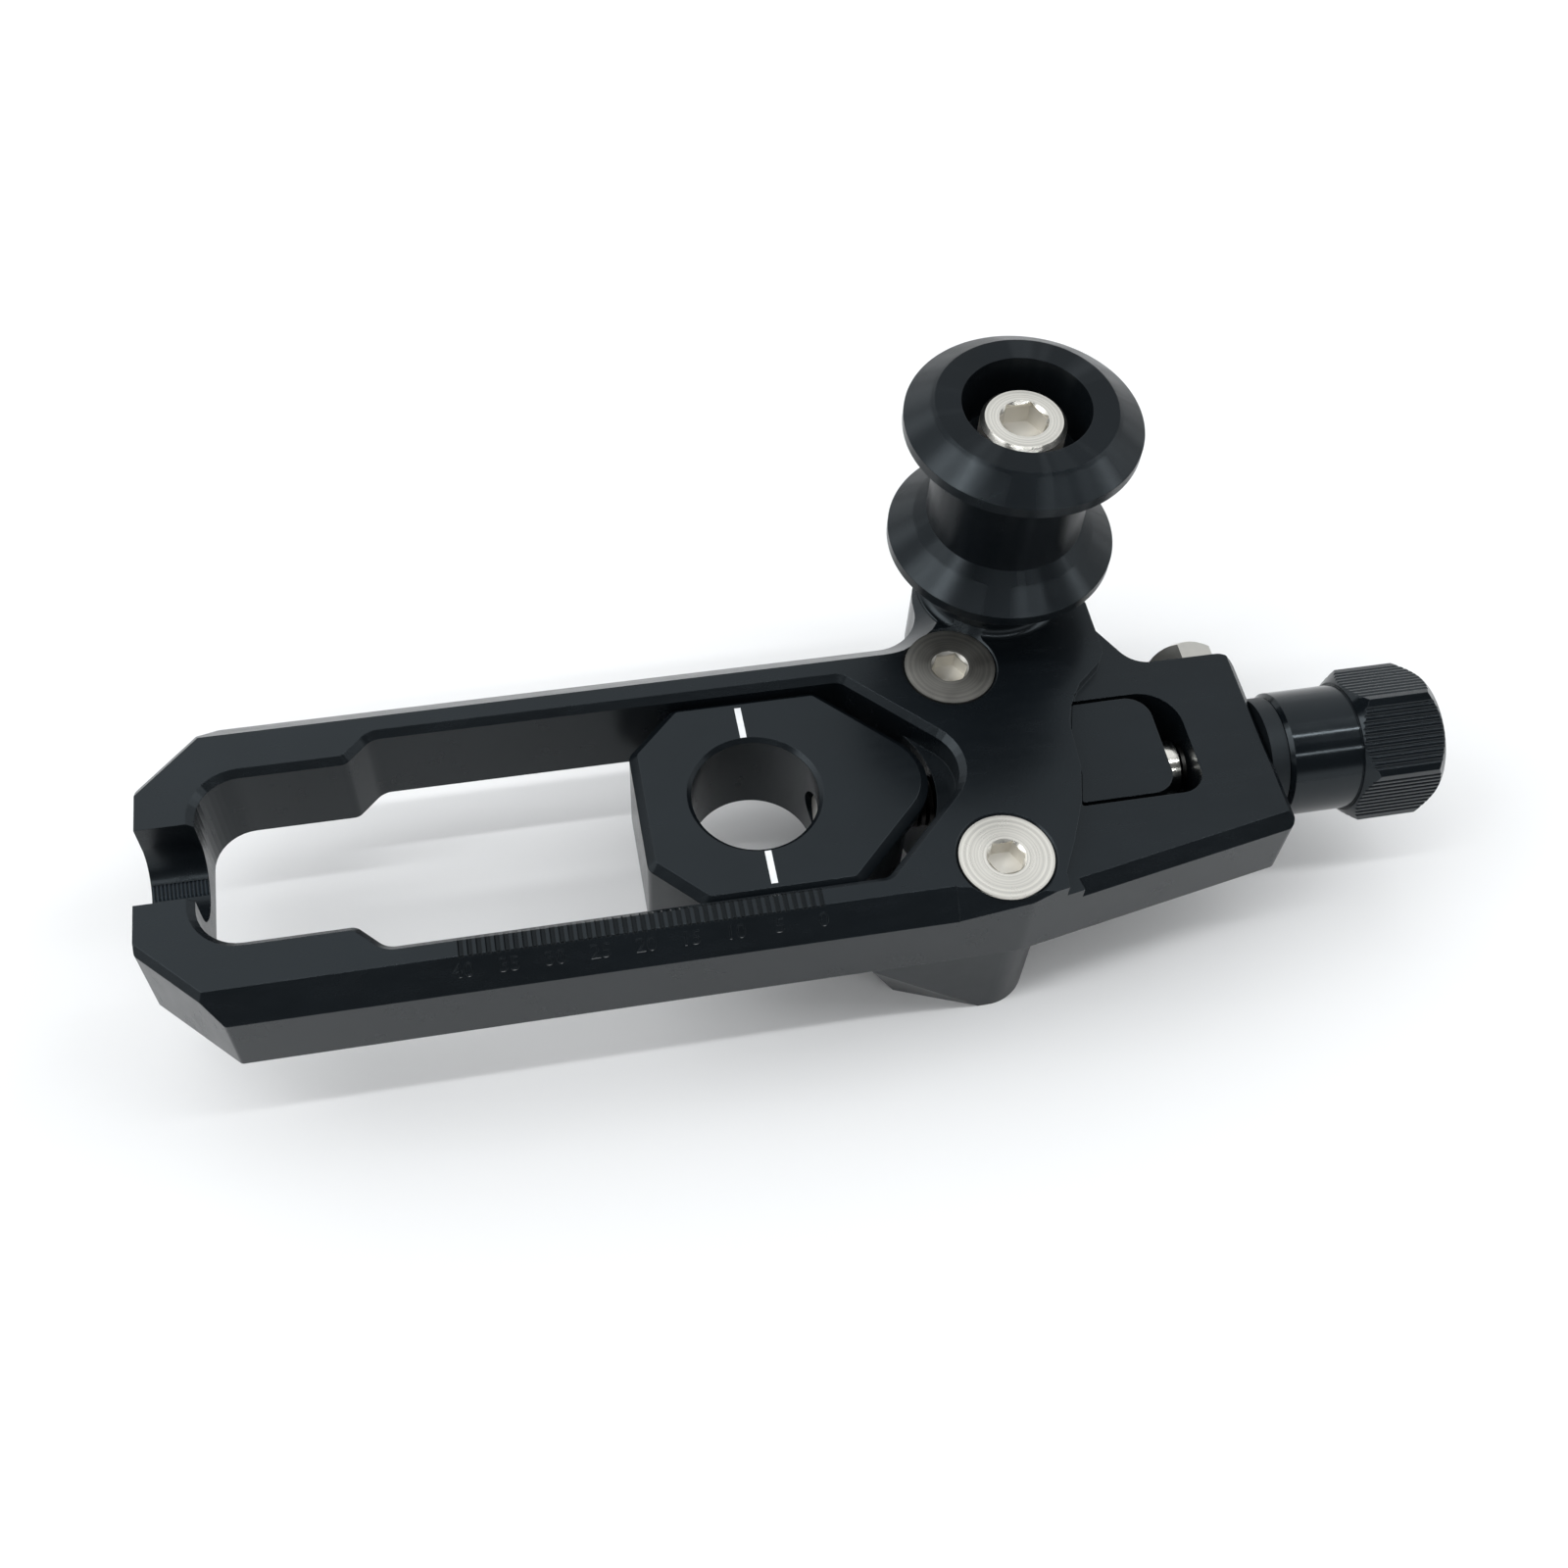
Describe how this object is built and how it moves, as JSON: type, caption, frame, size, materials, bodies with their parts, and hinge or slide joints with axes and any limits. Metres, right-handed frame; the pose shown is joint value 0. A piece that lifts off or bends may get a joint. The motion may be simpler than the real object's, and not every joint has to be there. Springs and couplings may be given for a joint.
{
  "type": "motorcycle chain adjuster",
  "caption": "Chain adjuster for a motorcycle swingarm: slotted frame with a sliding axle block on a threaded rod, a turning knob that moves it, and a paddock stand spool.",
  "frame": {"origin": "on the axis of the axle bore, in the plane of the frame's back face, with the block at its rest place", "axes": "+X along the rod towards the adjusting knob, +Y from the scale rail towards the spool, +Z out of the frame's face along the axle bore"},
  "size_m": [0.1547, 0.0592, 0.0572],
  "materials": {
    "black_anodised": "satin black anodised",
    "black_anodised_fine": "satin black anodised, finely turned or milled",
    "black_plastic": "matt",
    "white_paint": "satin enamel fill",
    "zinc_steel": "plated, satin",
    "polished_steel": "polished"
  },
  "bodies": {
    "frame": {"frame": "black_anodised", "swingarm_insert": "black_anodised", "frame_screw_upper": "zinc_steel", "frame_screw_lower": "polished_steel", "spool": "black_anodised_fine", "spool_bolt": "polished_steel", "lock_bolt": "zinc_steel", "guide_bush": "polished_steel", "bush_block": "black_anodised_fine", "thrust_washer": "black_plastic"},
    "knob": {"adjuster_knob": "black_anodised_fine"},
    "block": {"axle_block": "black_anodised_fine", "draw_rod": "zinc_steel", "index_marks": "white_paint"}
  },
  "joints": [
    {"name": "adjuster_turn", "type": "hinge", "parent": "frame", "child": "knob", "pos_m": [0.07, 0, 0.004], "axis": [1, 0, 0], "range_deg": [-1080, 4680]},
    {"name": "block_slide", "type": "slide", "parent": "frame", "child": "block", "axis": [1, 0, 0], "range_m": [-0.013, 0.003]}
  ],
  "couplings": [
    {"joint": "block_slide", "follows": "adjuster_turn", "m_per_rad": -0.00015915}
  ]
}
